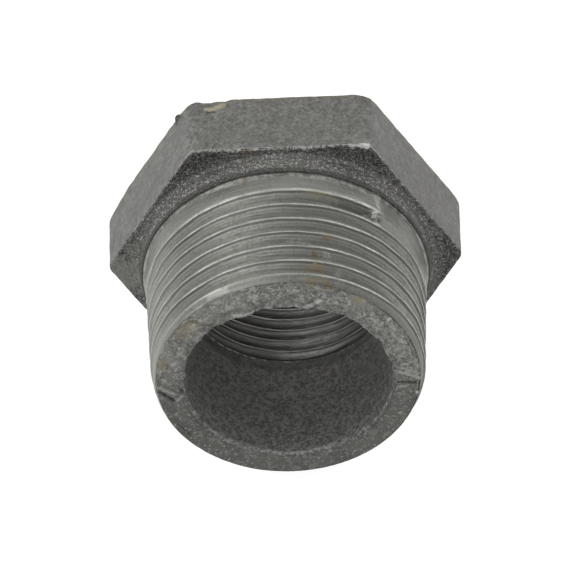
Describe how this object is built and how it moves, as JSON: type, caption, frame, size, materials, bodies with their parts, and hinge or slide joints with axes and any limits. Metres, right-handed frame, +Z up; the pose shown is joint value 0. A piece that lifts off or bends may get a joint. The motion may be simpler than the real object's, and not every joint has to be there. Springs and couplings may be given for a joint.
{
  "type": "hex bushing",
  "caption": "Cast iron hexagon-head reducing bushing for pipe, with a tapered male thread outside and a smaller female thread inside.",
  "frame": {"origin": "on the pipe axis at mid length", "axes": "+Y along the pipe axis, from the male end towards the hexagon's outer face; +Z up, square to one flat of the hexagon"},
  "size_m": [0.0424, 0.0294, 0.037],
  "materials": {
    "black_malleable_iron": "as cast, black annealed, with machined threads"
  },
  "bodies": {
    "root": {"hex_bushing": "black_malleable_iron"}
  },
  "joints": []
}
